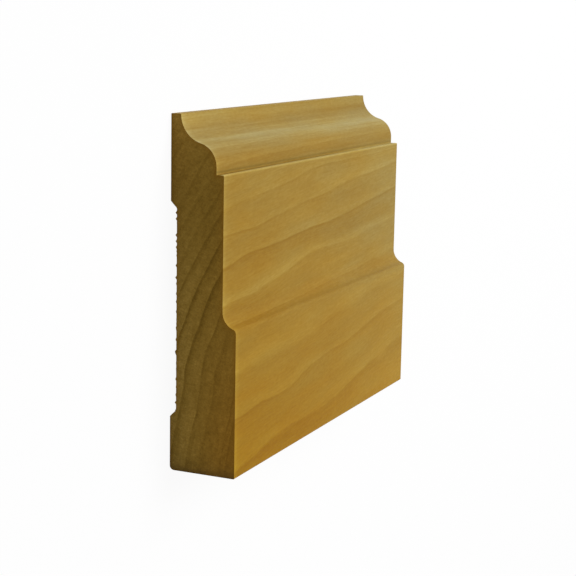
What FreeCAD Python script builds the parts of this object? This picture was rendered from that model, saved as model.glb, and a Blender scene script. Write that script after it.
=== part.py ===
import FreeCAD, Part
import math
import os

import Sketcher

# A short length of solid poplar skirting board, machined in one piece.
#
# It lies on its back. X runs along the length, Y goes up the board from its bottom edge to its top edge,
# and Z goes out from the back to the moulded face. The origin is the middle of the back, on the plane of
# the two lands that bear on a wall. All sizes are in millimetres and degrees.
#
# From the top edge down, the face has a thin edge, an ogee of a cove over an ovolo, a short upright foot,
# a narrow ledge, a flat field, a small ogee step and a flat plinth. The back has a wide shallow relief.

# Driving sizes: name, value and what it measures
SIZES = (
    ("board_length", 177.8, "between the two sawn ends"),
    ("board_height", 133.35, "bottom edge to top edge"),
    ("top_thickness", 4.0, "thickness at the top edge"),
    ("ogee_projection", 14.5, "how far the ogee comes forward of the top edge"),
    ("ogee_cove_radius", 10.6, "hollow upper curve of the ogee"),
    ("ogee_ovolo_radius", 8.6, "round lower curve of the ogee"),
    ("foot_height", 2.7, "upright foot between the ogee and the ledge"),
    ("ledge_width", 3.0, "how far the field stands forward of the foot"),
    ("plinth_projection", 5.5, "how far the plinth stands forward of the field"),
    ("plinth_height", 54.6, "bottom edge to the end of the plinth's flat face"),
    ("step_cove_radius", 6.4, "hollow upper curve of the step"),
    ("step_shoulder_radius", 1.8, "rounded shoulder of the plinth"),
    ("relief_depth", 2.5, "depth of the relief in the back"),
    ("relief_flank_angle", 45.0, "slope of the relief's flanks from the back"),
    ("relief_root_radius", 1.0, "rounding where a flank meets the relief's floor"),
    ("lower_land_height", 20.8, "bottom edge to the start of the relief"),
    ("upper_land_height", 31.8, "top edge to the start of the relief"),
    ("heel_radius", 1.8, "rounded corner between the bottom edge and the back"),
    ("arris_radius", 0.4, "eased corners of the plinth's bottom edge and of the ledge"),
)

# Numbers for the points of an edge, and for a section's own two axes
START, END, CENTRE = range(1, 4)
SKETCH_X_AXIS, SKETCH_Y_AXIS = range(-1, -3, -1)
SKETCH_ORIGIN = (SKETCH_X_AXIS, START)


def make_sheet(document):
    """The spreadsheet of driving sizes."""
    sheet = document.addObject("Spreadsheet::Sheet", "Sizes")
    for row, (name, value, meaning) in enumerate(SIZES, start=1):
        sheet.set(f"A{row}", name)
        sheet.set(f"B{row}", str(value))
        sheet.set(f"C{row}", meaning)
        sheet.setAlias(f"B{row}", name)
    document.recompute()
    return sheet


def add_section_sketch(body, name):
    """An empty sketch square to the length: its x is the board's Y and its y is the board's Z."""
    sketch = body.newObject("Sketcher::SketchObject", name)
    plane = next(item for item in body.Origin.OriginFeatures if item.Role == "YZ_Plane")
    sketch.AttachmentSupport = [(plane, "")]
    sketch.MapMode = "FlatFace"
    return sketch


def add_line(sketch, start, end):
    """A straight edge between two (x, y) points of the sketch."""
    first, last = FreeCAD.Vector(*start, 0), FreeCAD.Vector(*end, 0)
    return sketch.addGeometry(Part.LineSegment(first, last), False)


def add_arc(sketch, centre, radius, first_angle, last_angle):
    """A round edge about an (x, y) centre, counter-clockwise from the first angle to the last."""
    circle = Part.Circle(FreeCAD.Vector(*centre, 0), FreeCAD.Vector(0, 0, 1), radius)
    return sketch.addGeometry(Part.ArcOfCircle(circle, first_angle, last_angle), False)


def tie(sketch, kind, *items):
    """A constraint with no size of its own."""
    sketch.addConstraint(Sketcher.Constraint(kind, *items))


def drive(sketch, kind, items, name, expression):
    """A constraint whose size follows an expression of the driving sizes."""
    value = float(sketch.evalExpression(expression))
    number = sketch.addConstraint(Sketcher.Constraint(kind, *items, value))
    sketch.renameConstraint(number, name)
    sketch.setExpression(f"Constraints.{name}", expression)


def ogee_turn(projection, hollow_radius, round_radius):
    """Angle of each arc of an ogee that joins two upright faces this far apart."""
    return math.acos(1 - projection / (hollow_radius + round_radius))


def ogee_height(projection, hollow_radius, round_radius):
    """Height that an ogee takes between the two upright faces that it joins."""
    return (hollow_radius + round_radius) * math.sin(ogee_turn(projection, hollow_radius, round_radius))


def add_ogee(sketch, top_level, back_face, projection, hollow_radius, round_radius):
    """A hollow arc that leaves the back face upright and runs into a round arc that ends upright below."""
    turn = ogee_turn(projection, hollow_radius, round_radius)
    low_level = top_level - ogee_height(projection, hollow_radius, round_radius)
    hollow_centre = (top_level, back_face + hollow_radius)
    round_centre = (low_level, back_face + projection - round_radius)
    outwards = math.pi / 2
    hollow = add_arc(sketch, hollow_centre, hollow_radius, 3 * outwards - turn, 3 * outwards)
    rounded = add_arc(sketch, round_centre, round_radius, outwards - turn, outwards)
    tie(sketch, "Tangent", rounded, START, hollow, START)
    return hollow, rounded


def section_places(sheet):
    """Where the face's flats start and end: their levels up the board, and how far out they stand."""
    ogee_sizes = (sheet.ogee_projection, sheet.ogee_cove_radius, sheet.ogee_ovolo_radius)
    step_sizes = (sheet.plinth_projection, sheet.step_cove_radius, sheet.step_shoulder_radius)
    foot_top = sheet.board_height / 2 - ogee_height(*ogee_sizes)
    shoulder = -sheet.board_height / 2 + sheet.plinth_height
    levels = {
        "foot_top": foot_top,
        "ledge": foot_top - sheet.foot_height,
        "shoulder": shoulder,
        "field_foot": shoulder + ogee_height(*step_sizes),
    }
    foot_face = sheet.top_thickness + sheet.ogee_projection
    field_face = foot_face + sheet.ledge_width
    faces = {"foot": foot_face, "field": field_face, "plinth": field_face + sheet.plinth_projection}
    return levels, faces


def draw_section(sketch, sheet):
    """The outline of the board's end, with a flat back."""
    levels, faces = section_places(sheet)
    top_edge = sheet.board_height / 2
    bottom_edge = -top_edge

    # Outline, from the heel out along the bottom edge, up the face and back down the back
    bottom = add_line(sketch, (bottom_edge, 0), (bottom_edge, faces["plinth"]))
    plinth = add_line(sketch, (bottom_edge, faces["plinth"]), (levels["shoulder"], faces["plinth"]))
    step_cove, shoulder = add_ogee(
        sketch,
        levels["field_foot"],
        faces["field"],
        sheet.plinth_projection,
        sheet.step_cove_radius,
        sheet.step_shoulder_radius,
    )
    field = add_line(sketch, (levels["field_foot"], faces["field"]), (levels["ledge"], faces["field"]))
    ledge = add_line(sketch, (levels["ledge"], faces["field"]), (levels["ledge"], faces["foot"]))
    foot = add_line(sketch, (levels["ledge"], faces["foot"]), (levels["foot_top"], faces["foot"]))
    cove, ovolo = add_ogee(
        sketch,
        top_edge,
        sheet.top_thickness,
        sheet.ogee_projection,
        sheet.ogee_cove_radius,
        sheet.ogee_ovolo_radius,
    )
    top = add_line(sketch, (top_edge, sheet.top_thickness), (top_edge, 0))
    back = add_line(sketch, (top_edge, 0), (bottom_edge, 0))

    # Corners, then the smooth joins of the step and the ogee
    corners = ((bottom, plinth), (field, ledge), (ledge, foot), (cove, top), (top, back), (back, bottom))
    for edge, next_edge in corners:
        tie(sketch, "Coincident", edge, END, next_edge, START)
    tie(sketch, "Tangent", plinth, END, shoulder, END)
    tie(sketch, "Tangent", step_cove, END, field, START)
    tie(sketch, "Tangent", foot, END, ovolo, END)
    tie(sketch, "PointOnObject", cove, CENTRE, top)

    # Directions: the board's height lies along the sketch's x
    for edge in (bottom, ledge, top):
        tie(sketch, "Vertical", edge)
    for edge in (plinth, field, foot):
        tie(sketch, "Horizontal", edge)

    # The back lies on the sketch's x axis, with its two corners equally far from the middle
    tie(sketch, "PointOnObject", bottom, START, SKETCH_X_AXIS)
    tie(sketch, "Symmetric", back, START, back, END, SKETCH_Y_AXIS)

    # Sizes
    drive(sketch, "DistanceX", (bottom, START, top, END), "height", "Sizes.board_height")
    drive(sketch, "DistanceY", (top, END, top, START), "top_edge", "Sizes.top_thickness")
    drive(sketch, "DistanceY", (top, START, foot, END), "ogee_out", "Sizes.ogee_projection")
    drive(sketch, "Radius", (cove,), "ogee_hollow", "Sizes.ogee_cove_radius")
    drive(sketch, "Radius", (ovolo,), "ogee_round", "Sizes.ogee_ovolo_radius")
    drive(sketch, "DistanceX", (foot, START, foot, END), "foot_up", "Sizes.foot_height")
    drive(sketch, "DistanceY", (ledge, END, ledge, START), "ledge_out", "Sizes.ledge_width")
    drive(sketch, "DistanceY", (field, START, plinth, START), "plinth_out", "Sizes.plinth_projection")
    drive(sketch, "DistanceX", (plinth, START, plinth, END), "plinth_up", "Sizes.plinth_height")
    drive(sketch, "Radius", (step_cove,), "step_hollow", "Sizes.step_cove_radius")
    drive(sketch, "Radius", (shoulder,), "step_round", "Sizes.step_shoulder_radius")


def relief_corners(sheet):
    """The relief's mouth and floor: levels of the low mouth, low root, high root and high mouth."""
    flank_run = sheet.relief_depth / math.tan(math.radians(sheet.relief_flank_angle))
    low_mouth = -sheet.board_height / 2 + sheet.lower_land_height
    high_mouth = sheet.board_height / 2 - sheet.upper_land_height
    return low_mouth, low_mouth + flank_run, high_mouth - flank_run, high_mouth


def draw_relief(sketch, sheet):
    """The outline of the relief that is planed into the back, between the two lands."""
    low_mouth, low_root, high_root, high_mouth = relief_corners(sheet)
    low_flank = add_line(sketch, (low_mouth, 0), (low_root, sheet.relief_depth))
    floor = add_line(sketch, (low_root, sheet.relief_depth), (high_root, sheet.relief_depth))
    high_flank = add_line(sketch, (high_root, sheet.relief_depth), (high_mouth, 0))
    mouth = add_line(sketch, (high_mouth, 0), (low_mouth, 0))

    corners = ((low_flank, floor), (floor, high_flank), (high_flank, mouth), (mouth, low_flank))
    for edge, next_edge in corners:
        tie(sketch, "Coincident", edge, END, next_edge, START)
    tie(sketch, "PointOnObject", mouth, END, SKETCH_X_AXIS)
    tie(sketch, "Horizontal", mouth)
    tie(sketch, "Horizontal", floor)

    flank_run = "Sizes.relief_depth / tan(Sizes.relief_flank_angle * 1 deg)"
    low_place = "Sizes.board_height / 2 - Sizes.lower_land_height"
    high_place = "Sizes.board_height / 2 - Sizes.upper_land_height"
    drive(sketch, "DistanceY", (low_flank, START, low_flank, END), "depth", "Sizes.relief_depth")
    drive(sketch, "DistanceX", (low_flank, START, low_flank, END), "low_run", flank_run)
    drive(sketch, "DistanceX", (high_flank, START, high_flank, END), "high_run", flank_run)
    drive(sketch, "DistanceX", (low_flank, START, *SKETCH_ORIGIN), "low_mouth", low_place)
    drive(sketch, "DistanceX", (*SKETCH_ORIGIN, high_flank, END), "high_mouth", high_place)


def long_edges_at(shape, places):
    """Names of the edges that run along the board at these (Y, Z) places."""
    near = 1e-4
    names = []
    for number, edge in enumerate(shape.Edges, start=1):
        first, last = edge.firstVertex().Point, edge.lastVertex().Point
        if math.hypot(first.y - last.y, first.z - last.z) > near:
            continue
        if any(math.hypot(first.y - across, first.z - out) < near for across, out in places):
            names.append(f"Edge{number}")
    if len(names) != len(places):
        raise RuntimeError(f"found {len(names)} of {len(places)} long edges")
    return names


def add_rounding(body, name, base, places, alias):
    """A fillet on the long edges at these (Y, Z) places, with its radius from one cell of the sheet."""
    rounding = body.newObject("PartDesign::Fillet", name)
    rounding.Base = (base, long_edges_at(base.Shape, places))
    rounding.setExpression("Radius", f"Sizes.{alias}")
    body.Document.recompute()
    return rounding


def make_board(document, sheet):
    """The whole board: one section run along the length, its back relieved and its long corners eased."""
    body = document.addObject("PartDesign::Body", "Board")
    body.Label = "skirting_board"
    body.Placement = FreeCAD.Placement()

    section = add_section_sketch(body, "MouldedSection")
    draw_section(section, sheet)
    moulding = body.newObject("PartDesign::Pad", "Moulding")
    moulding.Profile = section
    moulding.SideType = "Symmetric"
    moulding.setExpression("Length", "Sizes.board_length")
    document.recompute()

    relief_section = add_section_sketch(body, "ReliefSection")
    draw_relief(relief_section, sheet)
    relief = body.newObject("PartDesign::Pocket", "BackRelief")
    relief.Profile = relief_section
    relief.Type = "ThroughAll"
    relief.SideType = "Symmetric"
    document.recompute()
    if relief.Shape.Volume >= moulding.Shape.Volume:
        raise RuntimeError("the back relief cut nothing")

    levels, faces = section_places(sheet)
    bottom_edge = -sheet.board_height / 2
    low_root, high_root = relief_corners(sheet)[1:3]
    roots = ((low_root, sheet.relief_depth), (high_root, sheet.relief_depth))
    arrises = ((bottom_edge, faces["plinth"]), (levels["ledge"], faces["field"]))
    rounded_relief = add_rounding(body, "ReliefRoots", relief, roots, "relief_root_radius")
    heeled = add_rounding(body, "Heel", rounded_relief, ((bottom_edge, 0),), "heel_radius")
    add_rounding(body, "Arrises", heeled, arrises, "arris_radius")
    return body


def check_model(document, bodies):
    """Stops on a loose sketch, a failed feature or a body with no valid shape."""
    for item in document.Objects:
        if "Invalid" in item.State or "Error" in item.State:
            raise RuntimeError(f"{item.Name} failed: {item.State}")
        if item.isDerivedFrom("Sketcher::SketchObject") and not item.FullyConstrained:
            raise RuntimeError(f"{item.Name} is not fully constrained")
    for body in bodies:
        if body.Shape.isNull() or not body.Shape.isValid():
            raise RuntimeError(f"{body.Label} has no valid shape")


def write_parts(bodies):
    """One STEP file for each body, named by its label."""
    os.makedirs("parts", exist_ok=True)
    for body in bodies:
        body.Shape.exportStep(f"parts/{body.Label}.step")
        box = body.Shape.BoundBox
        print(f"{body.Label}: {box.XLength:.2f} x {box.YLength:.2f} x {box.ZLength:.2f} mm")


def main():
    document = FreeCAD.newDocument("SkirtingBoard")
    sheet = make_sheet(document)
    bodies = [make_board(document, sheet)]
    document.recompute()
    check_model(document, bodies)
    write_parts(bodies)


main()
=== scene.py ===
import math
import random

import bpy
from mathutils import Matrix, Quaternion, Vector
from mathutils.kdtree import KDTree


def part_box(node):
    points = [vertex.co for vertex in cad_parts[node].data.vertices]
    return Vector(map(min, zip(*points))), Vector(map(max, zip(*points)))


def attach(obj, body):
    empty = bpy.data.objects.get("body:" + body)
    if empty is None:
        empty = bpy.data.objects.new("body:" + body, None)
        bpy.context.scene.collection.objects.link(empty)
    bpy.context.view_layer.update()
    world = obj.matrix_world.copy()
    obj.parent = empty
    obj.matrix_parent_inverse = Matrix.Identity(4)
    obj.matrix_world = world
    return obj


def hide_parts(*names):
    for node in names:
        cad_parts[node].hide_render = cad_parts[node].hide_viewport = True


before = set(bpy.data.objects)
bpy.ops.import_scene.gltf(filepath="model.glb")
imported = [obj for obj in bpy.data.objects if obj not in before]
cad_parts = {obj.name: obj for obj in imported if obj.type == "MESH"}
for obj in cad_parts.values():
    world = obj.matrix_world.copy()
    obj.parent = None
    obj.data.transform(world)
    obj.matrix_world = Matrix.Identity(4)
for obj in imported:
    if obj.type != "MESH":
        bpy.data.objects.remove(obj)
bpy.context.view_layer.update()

# A short length of poplar skirting board on its back: X along it, Y up the board, Z out of its face.
# The board's lengths are written in millimetres and become metres where Blender takes them.
mm = 0.001
endFacing = 0.8    # a face whose normal lies along X by more than this belongs to a sawn end
boardNode = "skirting_board"
lowCorner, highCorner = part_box(boardNode)
boardLength, boardHeight, boardThickness = (highCorner - lowCorner) / mm


# Camera, floor and lamps, in metres

cameraSetup = {
    "place": (-0.5624, 0.0998, 0.2606),
    "aim": (-0.0238, -0.0058, 0.0181),
    "roll": -95.6,    # seen as if the board stood on its bottom edge
    "lens": 93.05,
    "nearest": 0.01,
}
studio = {
    "floorSize": 6.0,
    "floorDrop": 0.0001,
    "floorShade": 0.85,    # how white the floor is to the board above it
    "floorWhite": 0.93,    # share of the camera's view of the floor that is plain white
    "dayLevel": 0.35,    # how strongly the white sky lights the board
    "keyFrom": (0.27, 0.42, 0.86),
    "keyDistance": 1.6,
    "keySize": 1.2,
    "keyLevel": 0.76,    # at 1, a surface turned to the lamp shows its colour as it is written
}


def plug(tree, socket, value):
    if isinstance(value, bpy.types.NodeSocket):
        tree.links.new(value, socket)
    else:
        socket.default_value = value


def addNode(tree, kind, sockets=None, **settings):
    node = tree.nodes.new("ShaderNode" + kind)
    for name, value in settings.items():
        setattr(node, name, value)
    for socket, value in (sockets or {}).items():
        plug(tree, node.inputs[socket], value)
    return node


def calc(tree, operation, *values):
    node = addNode(tree, "Math", operation=operation)
    for socket, value in zip(node.inputs, values):
        plug(tree, socket, value)
    return node.outputs[0]


def seenDirectly(tree):
    path = addNode(tree, "LightPath")
    mirrored = calc(tree, "MAXIMUM", path.outputs["Is Glossy Ray"], path.outputs["Is Transmission Ray"])
    return calc(tree, "MAXIMUM", path.outputs["Is Camera Ray"], mirrored)


def setCamera(setup):
    place, aim = Vector(setup["place"]), Vector(setup["aim"])
    look = (aim - place).normalized()
    turn = Quaternion(look, math.radians(setup["roll"])) @ look.to_track_quat("-Z", "Y")
    bpy.ops.object.camera_add(location=place, rotation=turn.to_euler())
    camera = bpy.context.object
    camera.data.lens = setup["lens"]
    camera.data.clip_start = setup["nearest"]
    bpy.context.scene.camera = camera
    bpy.context.scene.view_settings.view_transform = "Standard"


def setDaylight(level):
    world = bpy.data.worlds.new("daylight")
    bpy.context.scene.world = world
    world.use_nodes = True
    tree = world.node_tree
    background = tree.nodes["Background"]
    background.inputs["Color"].default_value = (1.0, 1.0, 1.0, 1.0)
    strength = calc(tree, "MULTIPLY_ADD", seenDirectly(tree), 1.0 - level, level)
    tree.links.new(strength, background.inputs["Strength"])


def setKeyLamp(setup):
    towards = Vector(setup["keyFrom"]).normalized()
    place = towards * setup["keyDistance"]
    turn = (-towards).to_track_quat("-Z", "Y").to_euler()
    bpy.ops.object.light_add(type="AREA", location=place, rotation=turn)
    lamp = bpy.context.object.data
    lamp.shape = "DISK"
    lamp.size = setup["keySize"]
    lamp.energy = setup["keyLevel"] * (math.pi * setup["keyDistance"]) ** 2


def layFloor(setup):
    bpy.ops.mesh.primitive_plane_add(size=setup["floorSize"], location=(0, 0, -setup["floorDrop"]))
    floor = bpy.context.object
    floor.name = "studioFloor"
    material = bpy.data.materials.new("whiteFloor")
    material.use_nodes = True
    tree = material.node_tree
    tree.nodes.clear()
    seen = seenDirectly(tree)
    shade = calc(tree, "MULTIPLY_ADD", seen, 1.0 - setup["floorShade"], setup["floorShade"])
    paper = addNode(tree, "BsdfDiffuse", {"Color": shade})
    white = addNode(tree, "Emission", {"Color": (1.0, 1.0, 1.0, 1.0), "Strength": 1.0})
    share = calc(tree, "MULTIPLY", seen, setup["floorWhite"])
    mixed = addNode(tree, "MixShader", {0: share, 1: paper.outputs[0], 2: white.outputs[0]})
    output = addNode(tree, "OutputMaterial")
    tree.links.new(mixed.outputs[0], output.inputs["Surface"])
    floor.data.materials.append(material)


setCamera(cameraSetup)
setDaylight(studio["dayLevel"])
setKeyLamp(studio)
layFloor(studio)
print("camera, lamps and floor are set")


# The board, drawn round its section as with a pen and pushed out along X

boardShape = {
    "topThickness": 4.0,
    "ogeeOut": 14.5,
    "coveRadius": 10.6,
    "ovoloRadius": 8.6,
    "footHeight": 2.7,
    "ledgeWidth": 3.0,
    "plinthOut": 5.5,
    "plinthHeight": 54.6,
    "stepCoveRadius": 6.4,
    "stepShoulderRadius": 1.8,
    "arrisRadius": 0.4,
    "heelRadius": 1.8,
    "lowerLand": 20.8,
    "upperLand": 31.8,
    "reliefDepth": 2.5,
    "reliefFlankAngle": 45.0,
    "reliefRootRadius": 1.0,
    "sandedCorner": 0.2,    # how far back the sharp corners are sanded
}
boardMesh = {
    "arcStep": 6.0,    # degrees that a curve turns with each of its flats
    "tightArcStep": 15.0,    # the same in a tight curve
    "tightArc": 1.5,    # the largest radius of a tight curve
    "sandedFlats": 2,    # flats across each sanded corner
    "joinOutline": 0.01,    # points closer than this become one, in the outline and in the cut mesh
    "joinCuts": 0.005,
    "endRim": 0.12,    # width of the worn edge round each sawn end
    "grid": 0.75,    # spacing of the cuts up the board and through its thickness
    "slice": 3.0,    # spacing of the cuts along the board
    "endSlice": 0.6,    # a closer cut beside each end, so that a splinter stays short
}


def selectAll(action):
    bpy.ops.mesh.select_all(action=action)


def ahead(pen, length):
    heading = math.radians(pen["heading"])
    step = Vector((0.0, math.cos(heading), math.sin(heading))) * length * mm
    bpy.ops.mesh.extrude_vertices_move(TRANSFORM_OT_translate={"value": step})
    bpy.ops.object.vertex_group_remove_from()    # the new point takes its group from the last one
    pen["place"] += step


# A positive angle turns left. Spin turns the other way than its axis says.
def bend(pen, radius, angle):
    side = math.radians(pen["heading"] + math.copysign(90.0, angle))
    centre = pen["place"] + Vector((0.0, math.cos(side), math.sin(side))) * radius * mm
    step = boardMesh["arcStep"] if radius > boardMesh["tightArc"] else boardMesh["tightArcStep"]
    steps = math.ceil(abs(angle) / step)
    bpy.ops.mesh.spin(steps=steps, angle=math.radians(-angle), center=centre, axis=(1.0, 0.0, 0.0))
    pen["heading"] += angle
    side += math.pi + math.radians(angle)
    pen["place"] = centre + Vector((0.0, math.cos(side), math.sin(side))) * radius * mm


def corner(pen, angle):
    bpy.ops.object.vertex_group_assign()
    pen["heading"] += angle


# Degrees that two equal and opposite turns need, to come over sideways by the drop
def swing(drop, radii):
    return math.degrees(math.acos(1.0 - drop / radii))


def drawSection(pen, shape):
    thickness, arris, heel = boardThickness, shape["arrisRadius"], shape["heelRadius"]
    stepTurn = swing(shape["plinthOut"], shape["stepShoulderRadius"] + shape["stepCoveRadius"])
    stepHeight = (shape["stepShoulderRadius"] + shape["stepCoveRadius"]) * math.sin(math.radians(stepTurn))
    ogeeTurn = swing(shape["ogeeOut"], shape["ovoloRadius"] + shape["coveRadius"])
    ogeeHeight = (shape["ovoloRadius"] + shape["coveRadius"]) * math.sin(math.radians(ogeeTurn))
    fieldHeight = boardHeight - shape["plinthHeight"] - stepHeight - shape["footHeight"] - ogeeHeight
    slope = math.radians(shape["reliefFlankAngle"])
    flank = shape["reliefDepth"] / math.sin(slope)
    flankHeight = shape["reliefDepth"] / math.tan(slope)
    tangent = shape["reliefRootRadius"] * math.tan(slope / 2.0)
    floorHeight = boardHeight - shape["lowerLand"] - shape["upperLand"] - 2.0 * flankHeight

    bend(pen, heel, -90)
    ahead(pen, thickness - heel - arris)
    bend(pen, arris, -90)
    ahead(pen, shape["plinthHeight"] - arris)
    bend(pen, shape["stepShoulderRadius"], -stepTurn)
    bend(pen, shape["stepCoveRadius"], stepTurn)
    ahead(pen, fieldHeight - arris)
    bend(pen, arris, -90)
    ahead(pen, shape["ledgeWidth"] - arris)
    pen["heading"] += 90    # the sharp root of the quirk
    ahead(pen, shape["footHeight"])
    bend(pen, shape["ovoloRadius"], -ogeeTurn)
    bend(pen, shape["coveRadius"], ogeeTurn)
    corner(pen, -90)
    ahead(pen, shape["topThickness"])
    corner(pen, -90)
    ahead(pen, shape["upperLand"])
    corner(pen, -shape["reliefFlankAngle"])
    ahead(pen, flank - tangent)
    bend(pen, shape["reliefRootRadius"], shape["reliefFlankAngle"])
    ahead(pen, floorHeight - 2.0 * tangent)
    bend(pen, shape["reliefRootRadius"], shape["reliefFlankAngle"])
    ahead(pen, flank - tangent)
    corner(pen, -shape["reliefFlankAngle"])
    ahead(pen, shape["lowerLand"] - heel)


def cutAcross(axis, low, high, spacing):
    count = round((high - low) / spacing)
    normal = Vector((0.0, 0.0, 0.0))
    normal[axis] = 1.0
    for index in range(1, count):
        place = normal * (low + (high - low) * index / count) * mm
        selectAll("SELECT")
        bpy.ops.mesh.bisect(plane_co=place, plane_no=normal)


def selectEnds(board):
    bpy.ops.mesh.select_mode(type="FACE")
    selectAll("DESELECT")
    bpy.ops.object.mode_set(mode="OBJECT")
    for face in board.data.polygons:
        face.select = abs(face.normal.x) > endFacing
    bpy.ops.object.mode_set(mode="EDIT")


def makeBoard(shape, cuts):
    bpy.ops.object.select_all(action="DESELECT")
    bpy.ops.mesh.primitive_plane_add(size=mm, location=(0.0, 0.0, 0.0))
    board = bpy.context.object
    board.name = "poplarBoard"
    bpy.ops.object.vertex_group_add()
    bpy.ops.object.mode_set(mode="EDIT")
    bpy.ops.mesh.merge(type="CENTER")
    halfLength = boardLength / 2.0
    halfHeight = boardHeight / 2.0
    heelTop = Vector((cuts["endRim"] - halfLength, shape["heelRadius"] - halfHeight, 0.0)) * mm
    pen = {"place": heelTop, "heading": 180.0}
    bpy.ops.transform.translate(value=heelTop)
    drawSection(pen, shape)

    # Close the outline, sand its sharp corners and push it out along X
    selectAll("SELECT")
    bpy.ops.mesh.remove_doubles(threshold=cuts["joinOutline"] * mm)
    bpy.ops.mesh.edge_face_add()
    selectAll("DESELECT")
    bpy.ops.object.vertex_group_select()
    bpy.ops.mesh.bevel(offset=shape["sandedCorner"] * mm, segments=cuts["sandedFlats"], affect="VERTICES")
    selectAll("SELECT")
    push = ((boardLength - 2.0 * cuts["endRim"]) * mm, 0.0, 0.0)
    bpy.ops.mesh.extrude_region_move(TRANSFORM_OT_translate={"value": push})
    selectAll("SELECT")
    bpy.ops.mesh.normals_make_consistent(inside=False)
    selectEnds(board)
    bpy.ops.mesh.inset(thickness=cuts["endRim"] * mm, depth=cuts["endRim"] * mm, use_individual=True)

    bpy.ops.mesh.select_mode(type="FACE")
    cutAcross(1, -halfHeight, halfHeight, cuts["grid"])
    cutAcross(2, 0.0, boardThickness, cuts["grid"])
    cutAcross(0, -halfLength, halfLength, cuts["slice"])
    for side in (-1.0, 1.0):
        selectAll("SELECT")
        place = (side * (halfLength - cuts["endSlice"]) * mm, 0.0, 0.0)
        bpy.ops.mesh.bisect(plane_co=place, plane_no=(1.0, 0.0, 0.0))
    selectAll("SELECT")
    bpy.ops.mesh.remove_doubles(threshold=cuts["joinCuts"] * mm)
    bpy.ops.mesh.normals_make_consistent(inside=False)
    bpy.ops.object.mode_set(mode="OBJECT")
    return board


board = makeBoard(boardShape, boardMesh)
print("board is shaped:", len(board.data.polygons), "faces")


# Roughness of the sawn ends, cut into the mesh

endWear = {
    "capDepth": 0.01,    # points that lie this near to the end of the board are on its sawn end
    "sawArcs": 3.4,    # spacing of the arcs that the saw left
    "sawCentre": (0.0, -190.0, 120.0),
    "sawWobble": 2.0,
    "sawDepth": 0.05,
    "tornSize": (3.0, 3.4, 1.0),    # a torn tuft of fibres, long the way the rings run
    "tornDetail": 2,
    "tornDepth": 0.12,
    "splinterReach": 0.2,    # how far from the relief's sawn edge the fibres are torn out
    "splinterGaps": (1.0, 4.6),    # least and most between two splinters there
    "splinterShares": (0.3, 1.0),    # least and most of the length, before it is squared
    "splinterLength": 0.6,
    "splinterSeed": 11,
    "rimWidth": 0.9,    # how far the worn colour reaches in from the edge of the end
    "smoothAngle": 32.0,
}


def applyPush(board, name, group, **settings):
    bpy.context.view_layer.objects.active = board
    push = board.modifiers.new(name, "DISPLACE")
    push.vertex_group = group
    for setting, value in settings.items():
        setattr(push, setting, value)
    bpy.ops.object.modifier_apply(modifier=name)


def sink(board, name, texture, depth, place, size):
    bpy.ops.object.empty_add(location=Vector(place) * mm)
    guide = bpy.context.object
    guide.scale = Vector(size) * mm
    bpy.context.view_layer.update()
    # The middle level of 1 pushes only ever inwards
    applyPush(board, name, "sawnEnds", texture=texture, texture_coords="OBJECT",
              texture_coords_object=guide, mid_level=1.0, strength=depth * mm)
    bpy.data.objects.remove(guide)


def tearReliefEdge(board, shape, setup):
    low = shape["lowerLand"] + shape["reliefDepth"] - boardHeight / 2.0
    high = boardHeight / 2.0 - shape["upperLand"] - shape["reliefDepth"]
    chance = random.Random(setup["splinterSeed"])
    group = board.vertex_groups.new(name="splinters")
    reach = setup["splinterReach"]
    edge = [
        point for point in board.data.vertices
        if point.co.x < (reach - boardLength / 2.0) * mm
        and abs(point.co.z - shape["reliefDepth"] * mm) < reach * mm
    ]
    halfCut = boardMesh["grid"] / 2.0 * mm
    place = low
    while place < high:
        tuft = [point.index for point in edge if abs(point.co.y - place * mm) < halfCut]
        group.add(tuft, chance.uniform(*setup["splinterShares"]) ** 2, "REPLACE")    # most stay short
        place += chance.uniform(*setup["splinterGaps"])
    applyPush(board, "splinters", "splinters", direction="Z", mid_level=0.0,
              strength=-setup["splinterLength"] * mm)


def wearEnds(board, shape, setup):
    capFrom = (boardLength / 2.0 - setup["capDepth"]) * mm
    capPoints = [point.index for point in board.data.vertices if abs(point.co.x) > capFrom]
    rimPoints = KDTree(len(capPoints))
    onCap = set(capPoints)
    for face in board.data.polygons:
        if abs(face.normal.x) < endFacing:
            for index in face.vertices:
                if index in onCap:
                    rimPoints.insert(board.data.vertices[index].co, index)
    rimPoints.balance()
    rim = board.data.attributes.new("rim", "FLOAT", "POINT")
    for index in capPoints:
        away = rimPoints.find(board.data.vertices[index].co)[2]
        rim.data[index].value = math.exp(-away / (setup["rimWidth"] * mm))
    group = board.vertex_groups.new(name="sawnEnds")
    group.add(capPoints, 1.0, "REPLACE")

    arcs = bpy.data.textures.new("sawArcs", "WOOD")
    arcs.wood_type = "RINGNOISE"
    arcs.turbulence = setup["sawWobble"]
    arcSize = setup["sawArcs"] * 20.0 / (2.0 * math.pi)    # the texture's own rings are 2 pi / 20 apart
    sink(board, "sawArcs", arcs, setup["sawDepth"], setup["sawCentre"], (arcSize, arcSize, arcSize))
    torn = bpy.data.textures.new("tornFibres", "CLOUDS")
    torn.noise_scale = 1.0
    torn.noise_depth = setup["tornDetail"]
    sink(board, "tornFibres", torn, setup["tornDepth"], (0.0, 0.0, 0.0), setup["tornSize"])
    tearReliefEdge(board, shape, setup)
    bpy.ops.object.select_all(action="DESELECT")
    board.select_set(True)
    bpy.ops.object.shade_smooth_by_angle(angle=math.radians(setup["smoothAngle"]))


wearEnds(board, boardShape, endWear)
print("ends are worn")


# Poplar: the growth rings run through the whole board, so face, edges and ends show the same ones

allAlong = 10000.0    # reach of a mark that runs on past both ends of the board
fine = 3.0    # detail of the finer noises

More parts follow.
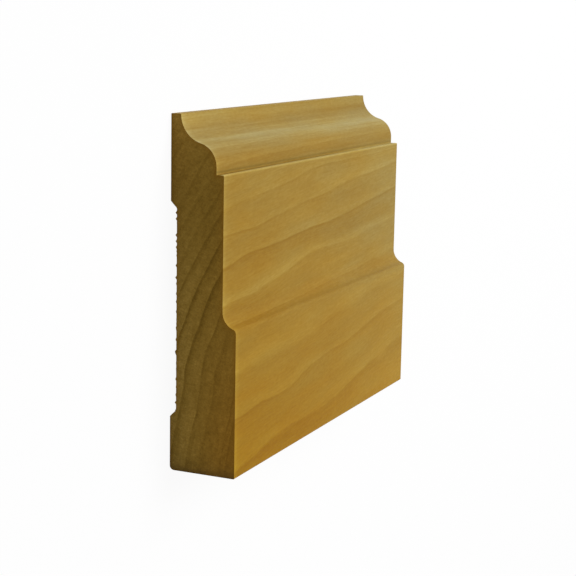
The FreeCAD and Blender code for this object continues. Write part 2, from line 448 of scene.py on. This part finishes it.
growth = {
    "climb": 0.078,    # how far the rings rise for each millimetre along the board
    "levelFrom": 106.0,    # in the ogee they rise less: where that begins, and over how much height
    "levelSpan": 14.0,
    "levelEase": 0.3,    # how softly it begins and ends, and how much of the rise it takes away
    "levelShare": 0.75,
    "wander": (0.02, 0.06, 0.06),    # how fine the grain's wander is each way, and how far it goes
    "wanderDepth": 0.3,
    # how the rings lean on the sawn end: height up the board, and how far forward a ring has come by then
    "lean": (
        (0.0, 0.0), (30.0, 5.7), (42.0, 7.4), (58.0, 13.0), (66.0, 15.9),
        (80.0, 23.0), (90.0, 28.6), (100.0, 35.0), (133.4, 58.0),
    ),
    "leanFrom": -40.0,    # where this curve begins, and how far it runs
    "leanSpan": 200.0,
    # where each ring starts: its lean at that height, less its Z
    "rings": (
        -30.5, -26.7, -22.6, -20.36, -11.9, -6.4, 0.5, 6.8,
        13.3, 19.0, 25.5, 32.0, 38.5, 45.0, 52.0,
    ),
    "wobble": (0.03, 0.14, 0.14),    # how fine the rings' wobble is each way, and how deep
    "wobbleDepth": 0.3,
    "ringFrom": -36.0,    # where the row of rings begins, how far it runs, and how many it holds
    "ringSpan": 100.0,
    "ringCount": 16,
    "rayTilt": 0.4,    # how much the rays slope from the back to the face
    # a line pushed up or down near a place on the face:
    # X from the left end, height, reach along, reach up, push
    "swells": (
        (80.0, 73.0, 30.0, 8.0, 2.8),
        (24.0, 66.0, 14.0, 6.0, -1.0),
        (106.0, 85.5, 32.0, 5.0, -1.5),
        (22.0, 80.5, 15.0, 4.0, 1.3),
        (26.0, 91.0, 14.0, 4.5, -1.1),
        (120.0, 99.5, 30.0, 5.0, 0.9),
        (90.0, 111.0, 50.0, 6.0, 2.4),
        (60.0, 43.0, 30.0, 7.0, -2.2),
        (178.0, 52.0, 26.0, 7.0, -0.7),
        (34.0, 102.0, 24.0, 3.5, 0.6),
        (44.0, 24.5, 20.0, 5.0, -2.3),
        (92.0, 30.0, 24.0, 5.0, 1.4),
        (132.0, 12.5, 28.0, 5.0, 2.7),
        (166.0, 28.0, 34.0, 15.0, 4.2),
        (158.0, 37.0, 26.0, 6.0, 1.0),
        (170.0, 18.0, 28.0, 5.0, 1.8),
        (84.0, 108.0, 26.0, 4.0, 1.2),
        (36.0, 6.0, 22.0, 5.0, 0.9),
    ),
    # for each ring from the pith out: how pale it starts, and how dark it ends on the face and on the ends
    "tones": (
        (0.4, 0.3, 0.5), (0.3, 0.65, 0.5), (0.47, 0.56, 0.6), (0.56, 0.32, 0.4),
        (0.56, 0.48, 0.35), (0.25, 0.06, 0.5), (1.0, 1.0, 1.0), (0.6, 0.5, 0.9),
        (0.47, 0.37, 0.5), (0.35, 0.15, 0.25), (0.3, 0.25, 0.2), (0.35, 0.2, 0.2),
        (0.35, 0.2, 0.15), (0.35, 0.3, 0.2), (0.3, 0.3, 0.15), (0.3, 0.3, 0.2),
    ),
}
faceFinish = {
    "warm": (0.371, 0.184, 0.0085, 1.0),    # the bottom of the board, at its left end
    "cool": (0.405, 0.279, 0.066, 1.0),    # the top of it, at its right end
    "coolUp": 0.0048,    # share of cool gained with each millimetre up the board, and along it
    "coolAlong": 0.0017,
    "paleUp": -0.0008,    # steps paler with each millimetre up the board, and along it
    "paleAlong": 0.0006,
    "paler": (1.35, 1.57, 2.3),    # what one whole step paler does to red, green and blue
    "greener": (0.975, 1.02, 1.2),    # what one whole step from orange to olive does to them
    "patches": (0.028, 0.13, 0.13),    # how fine the orange and olive patches are each way
    "olivePlaces": (    # as for the paler and darker places below, in steps greener
        ((0.0, 130.0, 5.0), (allAlong, 6.0, 6.0), -0.2, 0.7),
        ((0.0, 126.8, 6.2), (allAlong, 1.8, 2.5), 0.3, 1.0),
        ((0.0, 116.4, 18.3), (allAlong, 2.0, 3.0), -0.9, 0.0),
        ((0.0, 113.2, 18.5), (allAlong, 1.5, 1.5), 0.3, 1.4),
        ((170.0, 81.0, 21.5), (70.0, 20.0, allAlong), 1.5, 1.5),
        ((0.0, 55.7, 26.0), (allAlong, 2.0, 3.0), 0.0, 2.0),
        ((0.0, 3.0, 27.0), (allAlong, 14.0, allAlong), -0.4, -1.3),
    ),
    "cream": (0.420, 0.328, 0.116, 1.0),
    "creamPlace": (0.0, 122.8, 12.0),    # the pale streak along the middle of the ogee, where it turns up: partly the wood's own streak, partly a painted sheen
    "creamReach": (allAlong, 7.2, 8.2),
    "creamShare": 0.7,
    # how strongly the ring changes through its width, from the line where it starts to the next line
    "paleThrough": (
        (0.0, 0.55), (0.05, 1.0), (0.14, 0.75), (0.28, 0.25), (0.5, 0.0), (0.95, 0.0), (1.0, 0.3),
    ),
    "darkThrough": (
        (0.0, 0.45), (0.035, 0.0), (0.45, 0.05), (0.8, 0.2), (0.9, 0.45), (0.965, 1.0), (1.0, 0.8),
    ),
    "startPale": 0.45,
    "endDark": 0.50,
    "contrast": 1.15,    # strength of the lines, and how much it varies from patch to patch
    "contrastVaries": 0.3,
    "contrastPatches": (0.014, 0.03, 0.03),
    "fade": 0.0022,    # the lines grow fainter along the board, and most at its lower right
    "fadePlace": (172.0, 20.0, 27.0),
    "fadeReach": (70.0, 30.0, allAlong),
    "fadeShare": 0.25,
    # fine marks: what they follow, how fine they are along, across and through it, detail and strength
    "marks": (
        ("rings", (0.004, 1.1, 0.03), 2.0, 0.06),
        ("grain", (0.03, 1.2, 1.2), 2.0, 0.08),
        ("grain", (0.16, 2.4, 2.4), 3.0, 0.2),
        ("grain", (0.45, 1.0, 1.0), 3.0, 0.18),
        ("grain", (0.03, 0.12, 0.12), 2.0, 0.13),
    ),
    "ogeeStreaks": (0.007, 0.6, 0.6),    # streaks that run straight along the ogee
    "ogeeStrength": 0.3,
    "ogeeReach": (allAlong, 10.0, 12.0),
    # places made paler or darker: the pale ledge is a painted highlight; the back of the ledge, the foot
    # of the quirk, the ovolo, the step and the upper cove of the ogee are darkened with painted shade, and
    # the top of the ogee is painted lit at the left end and shaded towards the right; the other places are
    # the wood's own tone:
    # X from the left end, height and Z, reach each way, and steps paler at each end
    "paleAndDarkPlaces": (
        # painted highlight on the ledge, then painted shade on the back of the ledge
        ((0.0, 112.03, 20.2), (allAlong, 0.5, 1.8), 1.5, 1.5),
        ((10.0, 112.03, 19.2), (45.0, 0.4, 0.58), -2.5, -2.5),
        ((82.0, 112.03, 18.7), (36.0, 0.4, 0.6), -1.1, -1.1),
        # painted shade on the foot of the quirk and the ovolo
        ((0.0, 114.0, 18.5), (allAlong, 3.0, 3.0), -0.12, -0.56),
        ((0.0, 116.4, 18.4), (allAlong, 1.6, 2.0), -0.15, -0.05),
        ((0.0, 119.0, 17.0), (allAlong, 2.5, 3.0), -0.34, -0.34),
        ((124.0, 81.0, 21.5), (60.0, 5.0, allAlong), -0.4, -0.4),
        # painted shade on the step, the next two places
        ((140.0, 59.0, 22.0), (60.0, 2.5, 3.0), -0.25, -0.25),
        ((25.0, 60.5, 21.5), (40.0, 2.2, 3.0), -0.18, -0.18),
        ((130.0, 94.0, 21.5), (60.0, 6.0, allAlong), -0.24, -0.24),
        ((20.0, 34.0, 27.0), (40.0, 6.0, allAlong), 0.18, 0.18),
        ((20.0, 1.0, 27.0), (40.0, 3.0, allAlong), 0.15, 0.15),
        ((160.0, 43.0, 27.0), (40.0, 12.0, allAlong), 0.12, 0.12),
        ((165.0, 8.0, 27.0), (45.0, 12.0, allAlong), 0.25, 0.25),
        ((0.0, 121.6, 12.5), (allAlong, 1.6, 1.8), 0.0, 0.1),
        ((0.0, 123.4, 11.2), (allAlong, 1.6, 2.0), 0.25, 0.35),
        ((0.0, 126.5, 8.5), (allAlong, 2.5, 3.0), -0.15, -0.35),
        # painted shade on the upper cove of the ogee towards the right, and painted light at the top of it
        # on the left
        ((0.0, 128.3, 5.4), (allAlong, 2.4, 2.0), 0.0, -0.8),
        ((0.0, 131.5, 5.0), (allAlong, 2.5, 3.0), 0.55, -0.2),
        # painted shade on the step's shoulder
        ((0.0, 55.7, 26.0), (allAlong, 1.6, 2.0), 0.0, -0.3),
        ((0.0, 60.0, 10.0), (2.2, allAlong, allAlong), 0.4, 0.4),
        ((0.0, 60.0, 10.0), (6.0, allAlong, allAlong), 0.15, 0.15),
    ),
    # painted shade: the dark colour laid into the root of the quirk
    "quirkShade": (0.095, 0.076, 0.012, 1.0),
    "quirkShadePlaces": (    # painted shade in the root of the quirk, darkest at the left
        ((0.0, 112.9, 18.4), (allAlong, 0.5, 0.5), 0.38, 0.25),
    ),
    "fibres": (0.05, 2.4, 2.4),    # how fine the fibres are each way
    "fibreHeight": 0.006,    # how far the fibres and the ring lines stand up
    "lineHeight": 0.01,
    "fibreRoughness": 0.04,
    "roughness": 0.55,
    "gloss": 0.04,
}
endFinish = {
    "olive": (0.268, 0.164, 0.0255, 1.0),    # towards the back of the board
    "brown": (0.275, 0.154, 0.0185, 1.0),    # towards its face
    "redder": (0.275, 0.130, 0.0105, 1.0),    # at the foot of the face and the top of the back
    "redderPlaces": (
        ((0.0, 5.0, 27.0), (allAlong, 42.0, 13.0), 0.82, 0.82),
        ((0.0, 122.0, 0.0), (allAlong, 26.0, 10.0), 0.35, 0.35),
    ),
    "paler": (1.35, 1.40, 1.8),
    "paleThrough": ((0.0, 0.3), (0.06, 1.0), (0.2, 0.8), (0.5, 0.2), (0.8, 0.0), (1.0, 0.0)),
    "darkThrough": (
        (0.0, 0.6), (0.04, 0.0), (0.5, 0.0), (0.65, 0.12), (0.8, 0.4), (0.9, 0.85), (1.0, 1.0),
    ),
    "startPale": 0.35,
    "endDark": 1.5,
    "contrastVaries": 0.5,
    "contrastPatches": (0.02, 0.3, 0.08),
    "marks": (
        ("rings", (0.01, 1.1, 0.2), 3.0, 0.28),
        ("rays", (0.02, 0.25, 2.4), 2.0, 0.24),
        ("place", (0.05, 2.0, 2.0), 3.0, 0.6),
        ("place", (0.05, 0.8, 0.6), 2.0, 0.4),
        ("rings", (0.02, 0.35, 0.08), 2.0, 0.24),
    ),
    "paleAndDarkPlaces": (
        ((0.0, 40.0, 0.0), (allAlong, 60.0, 9.0), 1.05, 1.05),
        ((0.0, 88.0, 20.0), (allAlong, 34.0, 9.0), -0.4, -0.4),
        ((0.0, 104.0, 12.0), (allAlong, 17.0, 20.0), -0.4, -0.4),
        ((0.0, 3.5, 10.5), (allAlong, 3.0, 4.0), -0.6, -0.6),
        ((0.0, 132.0, 2.0), (allAlong, 5.0, 4.0), 0.25, 0.25),
        ((0.0, 11.0, 3.4), (allAlong, 8.0, 0.9), -0.5, -0.5),
    ),
    "rim": (0.235, 0.106, 0.006, 1.0),    # the worn edge all round
    "rimBack": 0.4,    # how strong the rim is at the back of the board, and at its face
    "rimFace": 0.85,
    "bottomShade": (0.06, 0.035, 0.008, 1.0),    # painted contact shade along the bottom edge
    "bottomShadeHeight": 2.8,
    "bottomShadeShare": 0.72,
    "faintFrom": 60.0,    # the ring lines grow fainter from here down to the bottom edge
    "faintShare": 0.45,
    "blotches": (0.05, 0.5, 0.3),    # how fine the blotches in the painted shade at the bottom edge are each way, and how strong
    "blotchStrength": 0.35,
    "pores": (0.05, 2.6, 2.6),
    "poreHeight": 0.02,
    "lineHeight": 0.04,
    "roughness": 0.8,
    "gloss": 0.1,
}


def scaled(tree, vector, scale):
    return addNode(tree, "VectorMath", {0: vector, 1: scale}, operation="MULTIPLY").outputs[0]


def joined(tree, x, y, z):
    return addNode(tree, "CombineXYZ", {0: x, 1: y, 2: z}).outputs[0]


# Noise from -1 to 1, with its grains stretched by the scale given for each direction
def speckle(tree, vector, scale, detail=2.0):
    stretched = scaled(tree, vector, scale)
    noise = addNode(tree, "TexNoise", {"Vector": stretched, "Scale": 1.0, "Detail": detail})
    return calc(tree, "MULTIPLY_ADD", noise.outputs["Fac"], 4.0, -2.0)


def ramp(tree, factor, stops, interpolation="LINEAR"):
    node = addNode(tree, "ValToRGB", {"Fac": factor})
    node.color_ramp.interpolation = interpolation
    stock = node.color_ramp.elements
    while len(stock) < len(stops):
        stock.new(1.0)
    for element, (place, colour) in zip(stock, stops):
        element.position = place
    for element, (place, colour) in zip(stock, stops):
        element.color = (*colour, 1.0)
    return node.outputs["Color"]


def blend(tree, factor, first, second):
    node = addNode(tree, "Mix", data_type="RGBA")
    colours = [socket for socket in node.inputs if socket.type == "RGBA"]
    plug(tree, node.inputs[0], factor)
    plug(tree, colours[0], first)
    plug(tree, colours[1], second)
    return [socket for socket in node.outputs if socket.type == "RGBA"][0]


# A colour with each of its three parts multiplied by its own rate for every whole step
def tinted(tree, colour, steps, rates):
    split = addNode(tree, "SeparateColor", {0: colour})
    parts = [
        calc(tree, "MULTIPLY", part, calc(tree, "POWER", rate, steps))
        for part, rate in zip(split.outputs, rates)
    ]
    return addNode(tree, "CombineColor", {0: parts[0], 1: parts[1], 2: parts[2]}).outputs[0]


def total(tree, start, *parts):
    level = start
    for value, share in parts:
        level = calc(tree, "MULTIPLY_ADD", value, share, level)
    return level


# 1 at the place, fading to nothing at about twice the reach each way
def near(tree, spot, place, reach):
    apart = addNode(tree, "VectorMath", {0: spot, 1: place}, operation="SUBTRACT").outputs[0]
    apart = addNode(tree, "VectorMath", {0: apart, 1: reach}, operation="DIVIDE").outputs[0]
    square = addNode(tree, "VectorMath", {0: apart, 1: apart}, operation="DOT_PRODUCT").outputs["Value"]
    return calc(tree, "EXPONENT", calc(tree, "MULTIPLY", square, -1.0))


def follow(tree, value, points, start, span, endSpan, handles="AUTO"):
    node = addNode(tree, "FloatCurve")
    plug(tree, node.inputs["Value"], calc(tree, "DIVIDE", calc(tree, "SUBTRACT", value, start), span))
    line = node.mapping.curves[0].points
    for x, y in points:
        point = line.new((x - start) / span, y / endSpan)
        point.handle_type = handles
    node.mapping.extend = "EXTRAPOLATED"
    node.mapping.update()
    return node.outputs["Value"]


def growTree(tree, setup):
    coordinates = addNode(tree, "TexCoord")
    place = scaled(tree, coordinates.outputs["Object"], (1.0 / mm, 1.0 / mm, 1.0 / mm))
    fromLeftFoot = (boardLength / 2.0, boardHeight / 2.0, 0.0)
    spot = addNode(tree, "VectorMath", {0: place, 1: fromLeftFoot}, operation="ADD").outputs[0]
    split = addNode(tree, "SeparateXYZ", {0: spot})
    along, high, out = split.outputs["X"], split.outputs["Y"], split.outputs["Z"]

    share = calc(tree, "DIVIDE", calc(tree, "SUBTRACT", high, setup["levelFrom"]), setup["levelSpan"])
    share = calc(tree, "SMOOTH_MAX", share, 0.0, setup["levelEase"])
    share = calc(tree, "SMOOTH_MIN", share, 1.0, setup["levelEase"])
    climb = calc(tree, "MULTIPLY_ADD", share, -setup["climb"] * setup["levelShare"], setup["climb"])
    lift = calc(tree, "MULTIPLY", along, climb)
    for x, middle, reachAlong, reachUp, push in setup["swells"]:
        swell = near(tree, spot, (x, middle, 0.0), (reachAlong, reachUp, allAlong))
        lift = calc(tree, "MULTIPLY_ADD", swell, push, lift)
    height = calc(tree, "SUBTRACT", high, lift)
    wander = speckle(tree, joined(tree, along, height, out), setup["wander"])
    height = calc(tree, "MULTIPLY_ADD", wander, setup["wanderDepth"], height)
    grain = joined(tree, along, height, out)

    lean = follow(tree, height, setup["lean"], setup["leanFrom"], setup["leanSpan"], setup["ringSpan"])
    depth = calc(tree, "MULTIPLY_ADD", lean, setup["ringSpan"], calc(tree, "MULTIPLY", out, -1.0))
    wobble = speckle(tree, grain, setup["wobble"])
    depth = total(tree, depth, (wobble, setup["wobbleDepth"]))
    rings = [(start, number) for number, start in enumerate(setup["rings"], 1)]
    ring = follow(tree, depth, rings, setup["ringFrom"], setup["ringSpan"], setup["ringCount"], "VECTOR")
    tones = [(number / setup["ringCount"], tone) for number, tone in enumerate(setup["tones"])]
    tone = addNode(tree, "SeparateColor", {0: ramp(tree, ring, tones, "CONSTANT")})
    return {
        "spot": spot,
        "along": along,
        "high": high,
        "out": out,
        "place": place,
        "grain": grain,
        "rings": joined(tree, along, depth, height),
        "rays": joined(tree, along, depth, calc(tree, "MULTIPLY_ADD", out, setup["rayTilt"], height)),
        "phase": calc(tree, "FRACT", calc(tree, "MULTIPLY", ring, float(setup["ringCount"]))),
        "startPale": tone.outputs[0],
        "faceDark": tone.outputs[1],
        "endDark": tone.outputs[2],
    }


# Steps paler or darker that a ring goes through from its start to its end
def ringSteps(tree, wood, darkness, setup):
    stops = {
        side: [(place, (level, level, level)) for place, level in setup[side]]
        for side in ("paleThrough", "darkThrough")
    }
    pale = calc(tree, "MULTIPLY", ramp(tree, wood["phase"], stops["paleThrough"]), wood["startPale"])
    dark = calc(tree, "MULTIPLY", ramp(tree, wood["phase"], stops["darkThrough"]), wood[darkness])
    return total(tree, 0.0, (pale, setup["startPale"]), (dark, -setup["endDark"]))


def markSteps(tree, wood, marks):
    steps = 0.0
    for followed, scale, detail, strength in marks:
        steps = total(tree, steps, (speckle(tree, wood[followed], scale, detail), strength))
    return steps


# Each place's strength goes evenly from its left value to its right one, and fades away from the place
def placeSteps(tree, wood, places):
    steps = 0.0
    for place, reach, left, right in places:
        strength = calc(tree, "MULTIPLY_ADD", wood["along"], (right - left) / boardLength, left)
        steps = calc(tree, "MULTIPLY_ADD", near(tree, wood["spot"], place, reach), strength, steps)
    return steps


def newWood(name):
    material = bpy.data.materials.new(name)
    material.use_nodes = True
    tree = material.node_tree
    return material, tree, tree.nodes["Principled BSDF"]


def finishWood(tree, shader, colour, roughness, heights, setup):
    plug(tree, shader.inputs["Base Color"], colour)
    plug(tree, shader.inputs["Roughness"], roughness)
    shader.inputs["Specular IOR Level"].default_value = setup["gloss"]
    bump = addNode(tree, "Bump", {"Strength": 1.0, "Distance": mm, "Height": heights})
    plug(tree, shader.inputs["Normal"], bump.outputs[0])


def makeFaceWood(setup):
    material, tree, shader = newWood("poplarFace")
    wood = growTree(tree, growth)
    cool = total(tree, 0.0, (wood["high"], setup["coolUp"]), (wood["along"], setup["coolAlong"]))
    colour = blend(tree, cool, setup["warm"], setup["cool"])
    # the pale streak along the ogee, partly the wood's own and partly a painted sheen
    creamShare = near(tree, wood["spot"], setup["creamPlace"], setup["creamReach"])
    creamShare = calc(tree, "MULTIPLY", creamShare, setup["creamShare"])
    colour = blend(tree, creamShare, colour, setup["cream"])

    ringLevel = ringSteps(tree, wood, "faceDark", setup)
    contrast = speckle(tree, wood["grain"], setup["contrastPatches"])
    contrast = calc(tree, "MULTIPLY_ADD", contrast, setup["contrastVaries"], setup["contrast"])
    faded = near(tree, wood["spot"], setup["fadePlace"], setup["fadeReach"])
    contrast = total(tree, contrast, (wood["along"], -setup["fade"]), (faded, -setup["fadeShare"]))
    steps = total(tree, markSteps(tree, wood, setup["marks"]), (ringLevel, contrast))
    # paler and darker places, with the painted highlight and shade on the moulding among them
    steps = calc(tree, "ADD", steps, placeSteps(tree, wood, setup["paleAndDarkPlaces"]))
    ogee = near(tree, wood["spot"], setup["creamPlace"], setup["ogeeReach"])
    streaks = calc(tree, "MULTIPLY", speckle(tree, wood["spot"], setup["ogeeStreaks"], fine), ogee)
    steps = total(tree, steps, (streaks, setup["ogeeStrength"]))
    steps = total(tree, steps, (wood["along"], setup["paleAlong"]), (wood["high"], setup["paleUp"]))
    colour = tinted(tree, colour, steps, setup["paler"])
    patches = speckle(tree, wood["grain"], setup["patches"], fine)
    olive = calc(tree, "ADD", patches, placeSteps(tree, wood, setup["olivePlaces"]))
    colour = tinted(tree, colour, olive, setup["greener"])
    # painted shade in the root of the quirk
    colour = blend(tree, placeSteps(tree, wood, setup["quirkShadePlaces"]), colour, setup["quirkShade"])

    fibres = speckle(tree, wood["grain"], setup["fibres"], fine)
    heights = total(tree, 0.0, (fibres, setup["fibreHeight"]), (ringLevel, setup["lineHeight"]))
    roughness = calc(tree, "MULTIPLY_ADD", fibres, setup["fibreRoughness"], setup["roughness"])
    finishWood(tree, shader, colour, roughness, heights, setup)
    return material


def makeEndWood(setup):
    material, tree, shader = newWood("poplarEnd")
    wood = growTree(tree, growth)
    outwards = calc(tree, "DIVIDE", wood["out"], boardThickness)
    colour = blend(tree, outwards, setup["olive"], setup["brown"])
    colour = blend(tree, placeSteps(tree, wood, setup["redderPlaces"]), colour, setup["redder"])

    contrast = speckle(tree, wood["rings"], setup["contrastPatches"])
    contrast = calc(tree, "MULTIPLY_ADD", contrast, setup["contrastVaries"], 1.0)
    faint = calc(tree, "MINIMUM", calc(tree, "DIVIDE", wood["high"], setup["faintFrom"]), 1.0)
    faint = calc(tree, "MULTIPLY_ADD", faint, setup["faintShare"], 1.0 - setup["faintShare"])
    contrast = calc(tree, "MULTIPLY", contrast, faint)
    ringLevel = ringSteps(tree, wood, "endDark", setup)
    steps = total(tree, markSteps(tree, wood, setup["marks"]), (ringLevel, contrast))
    steps = calc(tree, "ADD", steps, placeSteps(tree, wood, setup["paleAndDarkPlaces"]))
    colour = tinted(tree, colour, steps, setup["paler"])
    rim = addNode(tree, "Attribute", attribute_name="rim").outputs["Fac"]
    rimShare = calc(tree, "MULTIPLY_ADD", outwards, setup["rimFace"] - setup["rimBack"], setup["rimBack"])
    colour = blend(tree, calc(tree, "MULTIPLY", rim, rimShare), colour, setup["rim"])
    # painted contact shade along the bottom edge of the end, broken into blotches
    bottomShade = calc(tree, "EXPONENT", calc(tree, "DIVIDE", wood["high"], -setup["bottomShadeHeight"]))
    blotches = speckle(tree, wood["place"], setup["blotches"])
    blotches = calc(tree, "MULTIPLY_ADD", blotches, setup["blotchStrength"], 1.0)
    bottomShade = calc(tree, "MULTIPLY", calc(tree, "MULTIPLY", bottomShade, setup["bottomShadeShare"]), blotches)
    colour = blend(tree, bottomShade, colour, setup["bottomShade"])

    pores = speckle(tree, wood["place"], setup["pores"], fine)
    heights = total(tree, 0.0, (steps, setup["lineHeight"]), (pores, setup["poreHeight"]))
    finishWood(tree, shader, colour, setup["roughness"], heights, setup)
    return material


board.data.materials.append(makeFaceWood(faceFinish))
board.data.materials.append(makeEndWood(endFinish))
for face in board.data.polygons:
    face.material_index = 1 if abs(face.normal.x) > endFacing else 0
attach(board, "root")
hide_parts(boardNode)
bpy.ops.object.select_all(action="DESELECT")
print("poplar is on")
